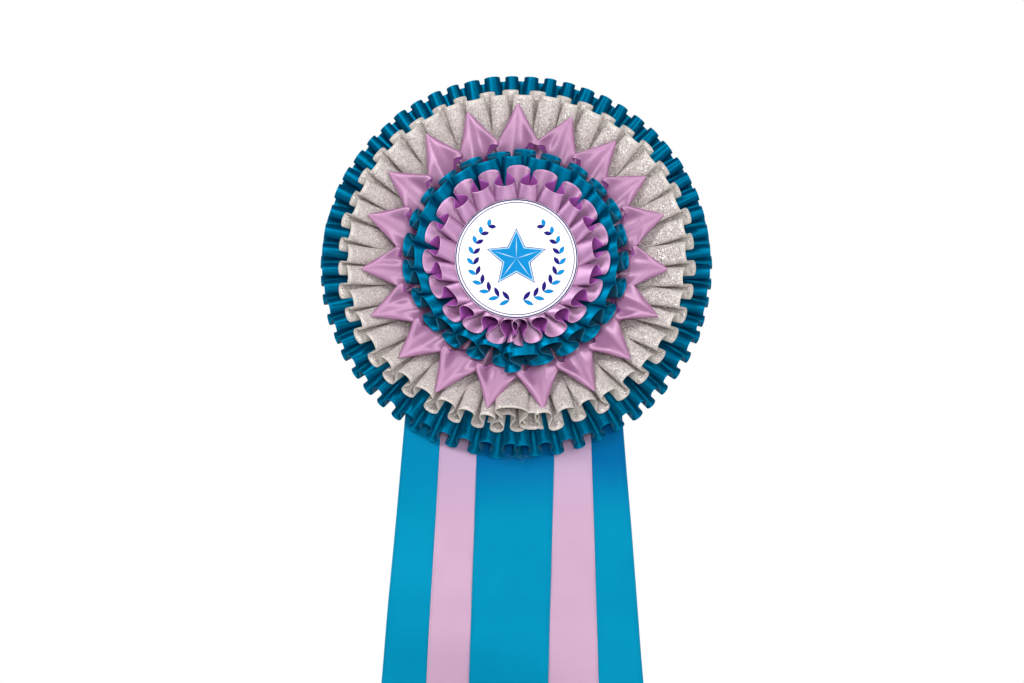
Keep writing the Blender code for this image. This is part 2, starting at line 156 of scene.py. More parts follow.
def grid_mesh(name, points, uv, closed):
    """A sheet through rows of points in metres. If it is closed, its last column joins its first.

    The texture places have one column more than the points of a closed sheet.
    """
    rows, columns = points.shape[:2]
    spans = columns if closed else columns - 1
    row, column = np.meshgrid(np.arange(rows - 1), np.arange(spans), indexing="ij")
    after = (column + 1) % columns
    corners = np.stack(
        (row * columns + column, row * columns + after,
         (row + 1) * columns + after, (row + 1) * columns + column), axis=-1,
    )
    mesh = bpy.data.meshes.new(name)
    mesh.from_pydata(points.reshape(-1, 3).tolist(), [], corners.reshape(-1, 4).tolist())
    layer = mesh.uv_layers.new(name="ribbon")
    places = np.stack(
        (uv[row, column], uv[row, column + 1], uv[row + 1, column + 1], uv[row + 1, column]),
        axis=-2,
    )
    layer.data.foreach_set("uv", places.astype(np.float32).ravel())
    mesh.polygons.foreach_set("use_smooth", np.ones(len(mesh.polygons), bool))
    mesh.update()
    return mesh


def add_piece(name, mesh, materials):
    """An object of the mesh, with its materials by name."""
    piece = bpy.data.objects.new(name, mesh)
    bpy.context.scene.collection.objects.link(piece)
    for material in materials:
        mesh.materials.append(MATERIALS[material])
    return piece


def thicken(piece, thickness, back_slot):
    """Gives a sheet its thickness behind its face, with the back in its own material."""
    solidify = piece.modifiers.new("ribbon", "SOLIDIFY")
    solidify.thickness = thickness * MM
    solidify.offset = -1.0
    solidify.material_offset = back_slot
    solidify.material_offset_rim = 0


def heights(node):
    """The rear and front height of a CAD node, and its largest radius."""
    low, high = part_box(node)
    return -high.y / MM, -low.y / MM, max(high.x, -low.x) / MM


# ---------------------------------------------------------------- pleated rings

def fold_wave(swing, bias):
    """Folds of a ribbon that bends evenly: their run along the ring and their lift.

    The heading swings to and fro along the ribbon, which draws round loops. Over one fold, from
    back loop to back loop, the run goes from 0 to 1 and the lift from 0 to 1 and back. A bias
    above 0 narrows the front loops and widens the back ones.
    """
    fine = 24
    share = (np.arange(FOLD_SAMPLES * fine) + 0.5) / (FOLD_SAMPLES * fine)
    heading = swing * np.sin(2 * np.pi * share - bias * np.sin(2 * np.pi * share))
    run = np.cumsum(np.cos(heading), axis=-1)
    lift = np.cumsum(np.sin(heading), axis=-1)
    run = run / run[..., -1:]
    lift = lift / lift.max(axis=-1, keepdims=True)
    pad = np.zeros(run.shape[:-1] + (1,))
    run = np.concatenate((pad, run), axis=-1)[..., :-1:fine]
    lift = np.concatenate((pad, lift), axis=-1)[..., :-1:fine]
    return run, lift


def fold_angles(spec, rng):
    """The clock angle of each back loop: a little uneven, and closer together at the seam."""
    pleats = spec["pleats"]
    away = np.minimum(np.arange(pleats), np.arange(pleats)[::-1]) / pleats
    width = 1 - spec["crowd"] * np.exp(-((away / CROWD_REACH) ** 2))
    width = width + WIDTH_SCATTER * rng.uniform(-1, 1, pleats)
    width[-1] *= spec["last"]
    ends = np.concatenate(([0.0], np.cumsum(width))) / width.sum()
    overlap = spec["overlap"] * 2 * np.pi / pleats
    return SEAM + (2 * np.pi + overlap) * ends - overlap / 2


def soft_noise(rng, u, v, size):
    """A few crossing waves with random directions: slow unevenness of a sheet."""
    total = 0.0
    for _ in range(5):
        turn, phase = rng.uniform(0, 2 * np.pi, 2)
        pace = rng.uniform(0.6, 1.8) * 2 * np.pi / size
        total = total + np.sin(pace * (u * np.cos(turn) + v * np.sin(turn)) + phase)
    return total / 5


def ring_folds(spec, rng):
    """Run and lift of all the folds of a ring, in rows from the header to the rim."""
    steps = np.linspace(0, 1, FLUTE_ROWS)
    swing = spec["swing"][0] + (spec["swing"][1] - spec["swing"][0]) * steps
    bias = spec["bias"][0] + (spec["bias"][1] - spec["bias"][0]) * steps
    own_bias = BIAS_SCATTER * rng.uniform(-1, 1, spec["pleats"])
    run, lift = fold_wave(swing[:, None, None], bias[:, None, None] + own_bias[None, :, None])
    run = np.concatenate((run.reshape(FLUTE_ROWS, -1), np.ones((FLUTE_ROWS, 1))), axis=1)
    lift = np.concatenate((lift.reshape(FLUTE_ROWS, -1), np.zeros((FLUTE_ROWS, 1))), axis=1)
    return run, lift


def ribbon_places(points, radius, height):
    """Millimetres along a ring's ribbon, and across it from the rim to the header."""
    length = np.linalg.norm(np.diff(points[-1], axis=0), axis=1) / MM
    along = np.concatenate(([0.0], np.cumsum(length)))
    width = np.hypot(np.diff(radius.mean(axis=1)), np.diff(height.mean(axis=1)))
    across = np.concatenate(([0.0], np.cumsum(width)))
    return np.stack(np.broadcast_arrays(along[None, :], across[-1] - across[:, None]), axis=-1)


def pleated_ring(tier):
    """One ring of ribbon: a pressed header, then folds that open to a rim of round loops."""
    spec = RINGS[tier]
    rng = np.random.default_rng(spec["seed"])
    pleats = spec["pleats"]
    rear, front, outer = heights(f"{tier}_ruffle")
    starts = fold_angles(spec, rng)
    share = np.arange(pleats * FOLD_SAMPLES + 1) / FOLD_SAMPLES
    pleat = np.minimum(np.floor(share).astype(int), pleats - 1)
    trough = np.floor(share + 0.5).astype(int)
    from_seam = np.minimum(share, pleats - share)
    near_seam = np.exp(-((from_seam / (SEAM_REACH * pleats)) ** 2))
    loose = spec["jitter"] * (1 + SEAM_LOOSENESS * near_seam)
    run, lift = ring_folds(spec, rng)
    steps = np.linspace(0, 1, FLUTE_ROWS)[:, None]
    angle = starts[pleat] + np.diff(starts)[pleat] * run

    def loops(size):
        """Random offsets, one for each front and each back loop, blended along the folds."""
        at_front = rng.uniform(-1, 1, pleats)[pleat]
        at_back = rng.uniform(-1, 1, pleats + 1)[trough]
        return size * loose * (lift * at_front + (1 - lift) * at_back) * steps

    def line(side):
        """Radius and height along the front line (side 0) or the back line (side 1)."""
        widening = 1 - spec["oval"][side] * np.cos(2 * angle)
        if side == 0:
            widening = widening - spec["sag"] * np.sin(angle / 2) ** 4
        start_radius, start_rise = spec["start"][side]
        rim_radius, rim_rise = spec["rim"][side]
        radius = outer * (start_radius + (rim_radius * widening - start_radius) * steps)
        return radius, rear + (front - rear) * (start_rise + (rim_rise - start_rise) * steps)

    front_radius, front_height = line(0)
    back_radius, back_height = line(1)
    radius = back_radius + (front_radius - back_radius) * lift + loops(LOOP_OUT)
    height = back_height + (front_height - back_height) * lift + loops(LOOP_UP)
    angle = angle + loops(LOOP_ASIDE) / outer

    # The cut end stands off, and the whole sheet is slightly uneven.
    last = np.clip(share - (pleats - 1.5), 0, 1)
    radius = radius + spec["end"][0] * last * steps
    height = height + spec["end"][1] * last * steps ** 0.5
    along = share * FULLNESS * 2 * np.pi * outer / pleats
    across = (1 - steps) * (front_radius.max() - front_radius.min())
    height = height + SWELL * spec["jitter"] * soft_noise(rng, along, across, SWELL_SIZE) * steps

    radius = np.concatenate((np.full((1, len(share)), outer * spec["header"]), radius))
    height = np.concatenate((height[:1], height))
    angle = np.concatenate((angle[:1], angle))
    points = place(radius, height, angle)
    uv = ribbon_places(points, radius, height)
    mesh = grid_mesh(f"{tier}_pleats", points, uv, closed=False)
    piece = add_piece(f"{tier}_pleats", mesh, (spec["face"], spec["back_face"]))
    thicken(piece, RIBBON, 1)
    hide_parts(f"{tier}_ruffle")
    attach(piece, "rosette")


def frayed_threads():
    """A few loose threads at the cut end of the outer ring's ribbon."""
    rng = np.random.default_rng(7)
    rear, front, outer = heights("outer_teal_ruffle")
    steps = np.linspace(0, 1, 12)
    sides = np.array((-STRAND / 2, STRAND / 2))[None, :]
    strands = []
    for number in range(STRAND_COUNT):
        heading = rng.uniform(-1.3, 1.3) + rng.uniform(-2.4, 2.4) * steps
        stride = rng.uniform(*STRAND_LENGTH) / len(steps)
        radius = outer * 0.975 + np.cumsum(np.cos(heading)) * stride
        across = rng.uniform(-9, 9) + np.cumsum(np.sin(heading)) * stride
        height = rear + rng.uniform(0.1, 0.8) * (front - rear) + 1.5 * rng.uniform(-1, 1) * steps
        points = place(
            radius[:, None] + sides * np.sin(heading)[:, None], height[:, None],
            SEAM + (across[:, None] - sides * np.cos(heading)[:, None]) / outer,
        )
        mesh = grid_mesh(f"strand_{number}", points, np.zeros((len(steps), 2, 2)), closed=False)
        strands.append(add_piece(f"strand_{number}", mesh, ("teal_thread",)))
    threads = join_pieces(strands, "outer_teal_loose_threads")
    solidify = threads.modifiers.new("strand", "SOLIDIFY")
    solidify.thickness = STRAND * MM
    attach(threads, "rosette")


# ---------------------------------------------------------------- folded points

def folded_points():
    """One lilac ribbon folded into pointed leaves, each a flattened cone with a rolled corner."""
    rng = np.random.default_rng(5)
    step = 2 * np.pi / POINT_COUNT
    pieces = []
    for number in range(POINT_COUNT):
        centre = number * step + 0.02 * rng.uniform(-1, 1)
        side = -1 if 0.1 < centre < 1.8 else 1
        points, uv = folded_point(centre, side, rng)
        mesh = grid_mesh(f"leaf_{number}", points, uv, closed=True)
        pieces.append(add_piece(f"leaf_{number}", mesh, ("lilac_points", "lilac_back")))
    pieces.append(points_band(rng))
    ring = join_pieces(pieces, "lilac_folded_points")
    thicken(ring, RIBBON, 1)
    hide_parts("lilac_points_ribbon")
    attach(ring, "rosette")


def join_pieces(pieces, name):
    """Makes one object of several with the same materials, which keep their places."""
    whole = bmesh.new()
    for piece in pieces:
        whole.from_mesh(piece.data)
    mesh = bpy.data.meshes.new(name)
    whole.to_mesh(mesh)
    whole.free()
    joined = bpy.data.objects.new(name, mesh)
    bpy.context.scene.collection.objects.link(joined)
    for material in pieces[0].data.materials:
        mesh.materials.append(material)
    for piece in pieces:
        bpy.data.objects.remove(piece, do_unlink=True)
    return joined


def points_band(rng):
    """The stitched band that the points grow from, which hides the silver ring's header."""
    rear, front, outer = heights("lilac_points_ribbon")
    ends = np.linspace(0, 2 * np.pi, BAND_COLUMNS + 1)[None, :]
    angle = ends[:, :-1]
    steps = np.linspace(0, 1, 6)[:, None]
    radius = outer * (BAND_INNER + (BAND_OUTER - BAND_INNER) * steps)
    height = rear + BAND_REAR + BAND_RISE * (front - rear) * steps
    puckers = 0.9 * steps * np.sin(2 * POINT_COUNT * angle)
    height = height + puckers + 0.5 * soft_noise(rng, angle * outer, 8 * steps, 15)
    uv = np.stack(np.broadcast_arrays(ends * outer, 14 * (1 - steps)), axis=-1)
    mesh = grid_mesh("points_band", place(radius, height, angle), uv, closed=True)
    return add_piece("points_band", mesh, ("lilac_points", "lilac_back"))


def folded_point(centre, side, rng):
    """Rows of closed sections from the open foot to the tip. The side is that of the roll."""
    rear, front, outer = heights("lilac_points_ribbon")
    foot_radius = POINT_FOOT[0] * outer
    foot_height = rear + POINT_FOOT[1] * (front - rear)
    tip_share = 0.995 + 0.015 * math.cos(2 * centre) + 0.03 * math.sin(centre / 2) ** 2
    tip_radius = tip_share * outer + rng.uniform(-1.5, 1.5)
    tip_height = front - 2.4 + rng.uniform(-0.8, 0.5)
    half = POINT_HALF + rng.uniform(-0.6, 0.6)
    lean = side * 0.10 + 0.12 * rng.uniform(-1, 1)

    # A flattened round section: x runs across it, and upper is 0 at its back and 1 at its face.
    section = 2 * np.pi * np.arange(POINT_COLUMNS) / POINT_COLUMNS
    cosine, sine = np.cos(section), np.sin(section)
    x = np.sign(cosine) * np.abs(cosine) ** 0.8
    upper = (1 + np.sign(sine) * np.abs(sine) ** 0.78) / 2
    steps = np.linspace(0, 1, POINT_ROWS)[:, None] ** 0.9

    # It narrows and thins towards the tip, and its corners are drawn in at the foot.
    shrink = (1 - steps) ** 0.96 * (1 - 0.10 * np.sin(np.pi * steps)) + 0.012
    shoulder = 1 - (0.16 + 0.06 * x) * np.clip(1 - steps / 0.15, 0, 1) ** 2
    across = half * x * shrink * shoulder + lean * half * steps
    lift = POINT_PUFF * np.minimum(1.0, 0.15 + 1.6 * shrink) * upper

    # The face has a dimple, a trough beside it, a rolled edge at the foot and slow creases.
    dimple = 0.42 + 0.12 * rng.uniform(-1, 1)
    depth = 2.7 + 1.0 * rng.uniform(-1, 1)
    lift = lift - upper * depth * np.exp(-(((x - dimple) / 0.30) ** 2) - ((steps - 0.16) / 0.26) ** 2)
    lift = lift - upper * 1.6 * np.exp(-(((x + 0.25) / 0.40) ** 2)) * (1 - steps)
    lift = lift + 2.6 * np.clip(x, 0, 1) ** 2 * upper * (1 - steps) ** 2
    lift = lift + 0.9 * upper * np.exp(-((steps / 0.045) ** 2)) * np.clip(x + 0.3, 0, 1)
    lift = lift + 1.7 * x * (1 - steps)
    bend = 1.0 * np.sin(np.pi * steps ** 0.8) * (1 - x ** 2)
    crease = 0.9 * upper * soft_noise(rng, x * half * shrink, 24 * steps, 26)

    # Between the corners the foot reaches in and down, under the ring in front of it.
    hidden = 1 - np.where(x < -0.4, (x + 0.4) / 0.6, np.minimum(1, (x + 0.4) / 0.95)) ** 2
    tuck = hidden * (1 - steps) ** 3
    mouth = 2.2 * upper * np.clip(1.2 * (1 - np.abs(x - 0.1) ** 2.2), 0, 1) * (1 - steps) ** 4
    radius = foot_radius + (tip_radius - foot_radius) * steps - POINT_SAG * tuck + mouth
    height = foot_height + (tip_height - foot_height) * steps + lift + bend + crease * shrink
    height = height - POINT_DIP * tuck
    points = place(radius, height, centre + side * across / radius)
    around = np.linspace(0, 1, POINT_COLUMNS + 1) * POINT_GIRTH
    uv = np.stack(np.broadcast_arrays(around[None, :], POINT_LENGTH * steps), axis=-1)
    if side > 0:
        points = points[:, ::-1]
    return points, uv


# ---------------------------------------------------------------- tails

def drape(x, z):
    """How far the hanging tails swell towards the viewer, in millimetres."""
    below = TAIL_TOP - z
    slow = 4.2 * np.sin(0.026 * below + 0.010 * x)
    quick = 2.0 * np.sin(0.058 * below - 0.026 * x + 1.2)
    return np.minimum(1.0, 1.5 * np.clip(below / TAIL_FREE, 0, None) ** 0.6) * (slow + quick)


def tail_edges(name):
    """The level and the left and right edge of a tail, at its top and at its bottom."""
    corners = []
    for node, pick in ((f"{name}_root", max), (f"{name}_lower", min)):
        points = [vertex.co / MM for vertex in frame["nodes"][node].data.vertices]
        level = pick(point.z for point in points)
        row = [point.x for point in points if abs(point.z - level) < 0.5]
        corners.append((level, min(row), max(row)))
    return corners


def hanging_tail(name, layer, face, back):
    """One ribbon from under the rosette to its notched end. Layer 0 is the rearmost."""
    (top, left_top, right_top), (bottom, left_bottom, right_bottom) = tail_edges(name)
    rear, front, _ = heights(f"{name}_lower")
    width = right_bottom - left_bottom
    share = np.linspace(-1, 1, TAIL_COLUMNS)[None, :]
    steps = np.linspace(0, 1, TAIL_ROWS)[:, None]
    end = bottom + TAIL_NOTCH * (1 - np.abs(share))
    z = top + (end - top) * steps
    down = (top - z) / (top - bottom)
    left = left_top + (left_bottom - left_top) * down
    right = right_top + (right_bottom - right_top) * down
    x = left + (right - left) * (share + 1) / 2
    hang = np.clip((TAIL_TOP - z) / TAIL_FREE, 0, None)
    edge = 0.5 * np.abs(share) ** 6 * np.sin(0.11 * z + 2.0 * layer) * np.minimum(1, 6 * hang)
    height = (rear + front) / 2 + drape(x, z) + layer * TAIL_GAP * hang + edge
    points = np.stack(np.broadcast_arrays(x, -height, z), axis=-1) * MM
    uv = np.stack(np.broadcast_arrays(top - z, (1 - np.abs(share)) / 2 * width), axis=-1)
    mesh = grid_mesh(f"{name}_ribbon", points, uv, closed=False)
    mesh.flip_normals()
    piece = add_piece(f"{name}_ribbon", mesh, (face, back))
    thicken(piece, RIBBON, 1)
    apply_modifiers(piece)
    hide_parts(f"{name}_root", f"{name}_lower")
    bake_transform(piece)


def apply_modifiers(piece):
    """Makes the result of a piece's modifiers its own mesh."""
    graph = bpy.context.evaluated_depsgraph_get()
    mesh = bpy.data.meshes.new_from_object(piece.evaluated_get(graph), depsgraph=graph)
    piece.modifiers.clear()
    piece.data = mesh


# ---------------------------------------------------------------- centre print

def print_thickness(piece):
    """Gives a printed shape the thickness of its ink."""
    solidify = piece.modifiers.new("ink", "SOLIDIFY")
    solidify.thickness = INK * MM
    solidify.offset = 0.0


def flat_shape(name, outline, height, material):
    """A printed shape on the centre, from (x, z) points in millimetres."""
    shape = bmesh.new()
    corners = [shape.verts.new((x * MM, -height * MM, z * MM)) for x, z in outline]
    face = shape.faces.new(corners)
    if face.normal.y > 0:
        face.normal_flip()
    mesh = bpy.data.meshes.new(name)
    shape.to_mesh(mesh)
    shape.free()
    piece = add_piece(name, mesh, (material,))
    print_thickness(piece)
    return piece


def ring_line(name, radius, width, height, material):
    """A thin printed circle."""
    angle = 2 * np.pi * np.arange(ROUND) / ROUND
    rows = np.array([radius - width / 2, radius + width / 2])[:, None]
    points = place(rows, height, angle[None, :])
    mesh = grid_mesh(name, points, np.zeros((2, ROUND + 1, 2)), closed=True)
    piece = add_piece(name, mesh, (material,))
    print_thickness(piece)
    return piece


def star_outline(radius, waist):
    """A five-pointed star, from its tip radius and the radius of its inner corners."""
    outline = []
    for step in range(10):
        reach = waist if step % 2 else radius
        angle = math.pi * step / 5
        outline.append((reach * math.sin(angle), reach * math.cos(angle)))
    return outline


def ray_outline(turn):
    """A narrow lozenge from the star's centre towards one of its tips."""
    half, waist, tip = 0.32, 7.2, 14.5
    sine, cosine = math.sin(turn), math.cos(turn)
    return [
        (0.0, 0.0), (half * cosine + waist * sine, waist * cosine - half * sine),
        (tip * sine, tip * cosine), (waist * sine - half * cosine, waist * cosine + half * sine),
    ]


def leaf_outline(x, z, heading, length, width):
    """A pointed leaf from its foot, along a heading from the vertical."""
    outline = []
    for side, shares in ((1, range(9)), (-1, range(7, 0, -1))):
        for share in (step / 8 for step in shares):
            out = side * width / 2 * math.sin(math.pi * share) ** 0.8
            outline.append((
                x + length * share * math.sin(heading) + out * math.cos(heading),
                z + length * share * math.cos(heading) - out * math.sin(heading),
            ))
    return outline


def sprig(side, level):
    """Ten pairs of leaves on a circle, from the bottom up one side of the disc."""
    leaves = []
    for step in range(10):
        turn = math.radians(171 - 14.5 * step)
        x, z = side * 26.8 * math.sin(turn), 26.8 * math.cos(turn)
        for lean, ink in ((-0.75, "navy_ink"), (0.62, "sky_ink")):
            heading = side * (turn - math.pi / 2 + lean)
            shape = leaf_outline(x, z, heading, 7.2 - 0.25 * step, 2.7)
            leaves.append(flat_shape(f"leaf_{side}_{step}_{ink}", shape, level, ink))
    return leaves


def round_card(node, material, corner):
    """A smooth round card with softened edges, in the place of a CAD disc."""
    rear, front, outer = heights(node)
    outline = [(0.0, rear), (outer - corner, rear), (outer, rear + corner),
               (outer, front - corner), (outer - corner, front), (0.0, front)]
    angle = 2 * np.pi * np.arange(ROUND) / ROUND
    radius, height = (np.array(column)[:, None] for column in zip(*outline))
    points = place(radius, height, angle[None, :])
    mesh = grid_mesh(f"{node}_card", points, np.zeros((len(outline), ROUND + 1, 2)), closed=True)
    mesh.set_sharp_from_angle(angle=math.radians(40))
    piece = add_piece(f"{node}_card", mesh, (material,))
    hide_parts(node)
    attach(piece, "rosette")


def centre_emblem():
    """A plain star between two sprigs, in print inks, and two thin lines round the edge."""
    _, front, outer = heights("centre_print")
    level = front + 0.03
    layer = 0.05
    parts = [
        ring_line("rim_line", outer * 0.984, 0.78, level, "navy_ink"),
        ring_line("inner_line", outer * 0.940, 0.54, level, "navy_ink"),
        flat_shape("star_shadow", star_outline(19.4, 9.3), level, "navy_ink"),
        flat_shape("star_border", star_outline(18.5, 8.7), level + layer, "pale_ink"),
        flat_shape("star", star_outline(17.0, 7.8), level + 2 * layer, "sky_ink"),
    ]
    for step in range(5):
        ray = ray_outline(2 * math.pi * step / 5)
        parts.append(flat_shape(f"ray_{step}", ray, level + 3 * layer, "pale_ink"))
    parts += sprig(-1, level) + sprig(1, level)
    by_ink = {}
    for part in parts:
        apply_modifiers(part)
        by_ink.setdefault(part.data.materials[0].name, []).append(part)
    for ink, group in by_ink.items():
        piece = join_pieces(group, f"centre_{ink}")
        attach(piece, "rosette")


# ---------------------------------------------------------------- materials

class Nodes:
    """A short way to write a material's node tree."""

    def __init__(self, name):
        self.material = bpy.data.materials.new(name)
        self.material.use_nodes = True
        self.tree = self.material.node_tree
        self.shader = self.tree.nodes["Principled BSDF"]

    def add(self, kind, **inputs):
        """A node of a kind, with its settings by name and its inputs by number, as in_0."""
        node = self.tree.nodes.new(kind)
        for key, value in inputs.items():
            if key.startswith("in_"):
                self.set(node.inputs[int(key[3:])], value)
            else:
                setattr(node, key, value)
        return node

    def set(self, socket, value):
        if isinstance(value, bpy.types.NodeSocket):
            self.tree.links.new(value, socket)
        else:
            socket.default_value = value

    def math(self, operation, a, b=0.0, c=0.0, clamp=False):
        """One step of arithmetic on values or sockets."""
        node = self.add("ShaderNodeMath", operation=operation, use_clamp=clamp)
        for socket, value in zip(node.inputs, (a, b, c)):
            self.set(socket, value)
        return node.outputs[0]

    def mix(self, share, a, b):
        """The colour a at share 0 and b at share 1."""
        node = self.add("ShaderNodeMix", data_type="RGBA")
        for index, value in ((0, share), (6, a), (7, b)):
            self.set(node.inputs[index], value)
        return node.outputs[2]

    def uv(self):
        """The place on the ribbon as a vector, and as millimetres along it and across it."""
        node = self.add("ShaderNodeUVMap", uv_map="ribbon")
        split = self.add("ShaderNodeSeparateXYZ", in_0=node.outputs[0])
        return node.outputs[0], split.outputs[0], split.outputs[1]

    def stretch(self, vector, x, y, z=1.0):
        return self.add("ShaderNodeMapping", in_0=vector, in_3=(x, y, z)).outputs[0]

    def noise(self, vector, scale, detail=2.0):
        node = self.add("ShaderNodeTexNoise", in_0=vector, in_2=scale, in_3=detail)
        return node.outputs[0]

    def bump(self, height, strength, distance):
        node = self.add("ShaderNodeBump")
        node.inputs["Strength"].default_value = strength
        node.inputs["Distance"].default_value = distance
        self.set(node.inputs["Height"], height)
        return node.outputs[0]

    def shade(self, **values):
        """Sets inputs of the surface shader, with _ for the spaces in their names."""
        for key, value in values.items():
            self.set(self.shader.inputs[key.replace("_", " ")], value)


def colour(red, green, blue):
    """A linear colour from the 0 to 255 values of a screen."""
    def linear(value):
        value = value / 255
        return value / 12.92 if value <= 0.04045 else ((value + 0.055) / 1.055) ** 2.4
    return (linear(red), linear(green), linear(blue), 1.0)


def satin(name, base, deep, glint, rough, gloss, painted_shade=None):
    """Satin ribbon: long floats that streak the light, fine weft ribs and a woven selvage whose light
    dots are painted towards the highlight colour.

    If a painted shade colour is given, the first centimetres of the ribbon are darkened with it:
    painted shade from the rosette above.
    """
    rib, dash, selvage_width = 0.42, 0.9, 0.5
    shade_fade_start, shade_fade_end = 56.0, 104.0
    n = Nodes(name)
    uv, along, across = n.uv()
    floats = n.noise(n.stretch(uv, 0.25, 9.0), 1.0, 3.0)
    cloud = n.noise(n.stretch(uv, 0.05, 0.05), 1.0, 2.0)
    grain = n.noise(n.stretch(uv, 1.6, 1.1), 1.0, 2.0)
    ribs = n.math("SINE", n.math("MULTIPLY", along, 2 * math.pi / rib))
    selvage = n.math("LESS_THAN", across, selvage_width)
    dash_wave = n.math("SINE", n.math("MULTIPLY", along, 2 * math.pi / dash))
    dashes = n.math("GREATER_THAN", dash_wave, 0.1)

    shade = n.math("ADD", n.math("MULTIPLY", floats, 0.25), n.math("MULTIPLY", cloud, 0.45))
    shade = n.math("ADD", shade, n.math("MULTIPLY", grain, 0.30))
    body = n.mix(n.math("MULTIPLY_ADD", shade, 2.0, -0.6, clamp=True), deep, base)
    # Painted shade: near the top of a tail the colour is mixed towards the painted shade colour,
    # fading out from 56 to 104 mm along the ribbon.
    if painted_shade:
        shade_fade = n.add("ShaderNodeMapRange", interpolation_type="SMOOTHSTEP", in_0=along,
                     in_1=shade_fade_start, in_2=shade_fade_end, in_3=0.0, in_4=1.0)
        body = n.mix(shade_fade.outputs[0], painted_shade, body)
    # Selvage: a real dotted woven edge whose light dots are painted towards the highlight colour as
    # painted highlight, with the gaps towards the deep colour.
    edge = n.mix(n.math("MULTIPLY", selvage, 0.30), body, n.mix(dashes, deep, glint))

    height = n.math("ADD", n.math("MULTIPLY", floats, 0.6), n.math("MULTIPLY", ribs, 0.16))
    height = n.math("ADD", height, n.math("MULTIPLY", n.math("MULTIPLY", selvage, dashes), 0.8))
    tangent = n.add("ShaderNodeTangent", direction_type="UV_MAP", uv_map="ribbon")
    n.shade(
        Base_Color=edge, Roughness=n.math("MULTIPLY_ADD", floats, 0.14, rough - 0.07),
        Anisotropic=1.0, Anisotropic_Rotation=0.25, Tangent=tangent.outputs[0], IOR=3.6,
        Sheen_Weight=0.1, Sheen_Roughness=0.4, Sheen_Tint=glint, Specular_IOR_Level=gloss,
        Specular_Tint=glint, Normal=n.bump(height, 0.25, 0.00008),
    )
    return n.material


def glitter(name):
    """Glitter ribbon: fine flakes that catch the light one by one, the brightest also painted
    near-white as painted sparkle, and a plain edge strip.
    """
    n = Nodes(name)
    uv, _, across = n.uv()
    strip = n.math("LESS_THAN", across, 0.9)
    flaked = n.math("SUBTRACT", 1.0, strip)
    flakes = n.add("ShaderNodeTexVoronoi", in_0=uv, in_2=2.5)
    pick = n.add("ShaderNodeSeparateXYZ", in_0=flakes.outputs[1]).outputs[0]
    ramp = n.add("ShaderNodeValToRGB", in_0=pick)
    # Flake tones: the darkest 5% are grey specks, then three greys, and the brightest 12% are painted
    # near-white as painted sparkle highlight.
    flake_tones_and_painted_sparkle = (
        (0.0, colour(118, 108, 108)), (0.05, colour(190, 179, 176)),
        (0.35, colour(204, 194, 190)), (0.75, colour(216, 207, 202)),
        (0.88, colour(255, 253, 248)),
    )
    ramp.color_ramp.interpolation = "CONSTANT"
    while len(ramp.color_ramp.elements) < len(flake_tones_and_painted_sparkle):
        ramp.color_ramp.elements.new(0.5)
    for element, (position, tone) in zip(ramp.color_ramp.elements, flake_tones_and_painted_sparkle):
        element.position = position
        element.color = tone
    cloth = n.noise(n.stretch(uv, 2.0, 2.0), 1.0, 3.0)
    plain = n.mix(cloth, colour(186, 178, 170), colour(206, 198, 190))

    # Each flake tilts the surface its own way.
    tilt = n.add("ShaderNodeVectorMath", operation="MULTIPLY_ADD", in_0=flakes.outputs[1],
                 in_1=(0.7, 0.7, 0.7), in_2=(-0.35, -0.35, -0.35))
    scaled = n.add("ShaderNodeVectorMath", operation="SCALE", in_0=tilt.outputs[0])
    n.set(scaled.inputs["Scale"], flaked)
    geometry = n.add("ShaderNodeNewGeometry")
    turned = n.add("ShaderNodeVectorMath", operation="ADD", in_0=geometry.outputs["Normal"],
                   in_1=scaled.outputs[0])
    normal = n.add("ShaderNodeVectorMath", operation="NORMALIZE", in_0=turned.outputs[0])
    n.shade(
        Base_Color=n.mix(strip, ramp.outputs[0], plain),
        Metallic=n.math("MULTIPLY", flaked, 0.15),
        Roughness=n.math("MULTIPLY_ADD", strip, 0.45, 0.32),
        Normal=normal.outputs[0],
    )
    return n.material


def woven_back(name, base, deep, rough=0.75):
    """The dull back of a ribbon: a plain fine weave."""
    n = Nodes(name)
    uv, along, across = n.uv()
    warp = n.math("SINE", n.math("MULTIPLY", across, 2 * math.pi / 0.5))
    weft = n.math("SINE", n.math("MULTIPLY", along, 2 * math.pi / 0.42))
    cloud = n.noise(n.stretch(uv, 0.12, 0.12), 1.0, 3.0)
    n.shade(
        Base_Color=n.mix(n.math("MULTIPLY_ADD", cloud, 1.4, -0.2, clamp=True), deep, base),
        Roughness=rough, Sheen_Weight=0.2, Sheen_Roughness=0.5, Sheen_Tint=base,
        Normal=n.bump(n.math("MULTIPLY", warp, weft), 0.3, 0.00008),
    )
    return n.material


def pulp_board(name, base, fleck, rough=0.9):
    """Grey or white board with fibres and small flecks."""
    n = Nodes(name)
    coordinates = n.add("ShaderNodeTexCoord").outputs["Object"]
    fibre = n.noise(n.stretch(coordinates, 900, 900, 2200), 1.0, 4.0)
    blotch = n.noise(coordinates, 60, 3.0)
    flecks = n.add("ShaderNodeTexVoronoi", in_0=coordinates, in_2=420.0)
    spot = n.math("LESS_THAN", flecks.outputs[0], 0.16)
    share = n.math("MULTIPLY_ADD", blotch, 0.8, n.math("MULTIPLY", fibre, 0.4), clamp=True)
    tone = n.mix(share, fleck, base)
    n.shade(
        Base_Color=n.mix(n.math("MULTIPLY", spot, 0.5), tone, fleck), Roughness=rough,
        Normal=n.bump(fibre, 0.35, 0.0002),
    )
    return n.material


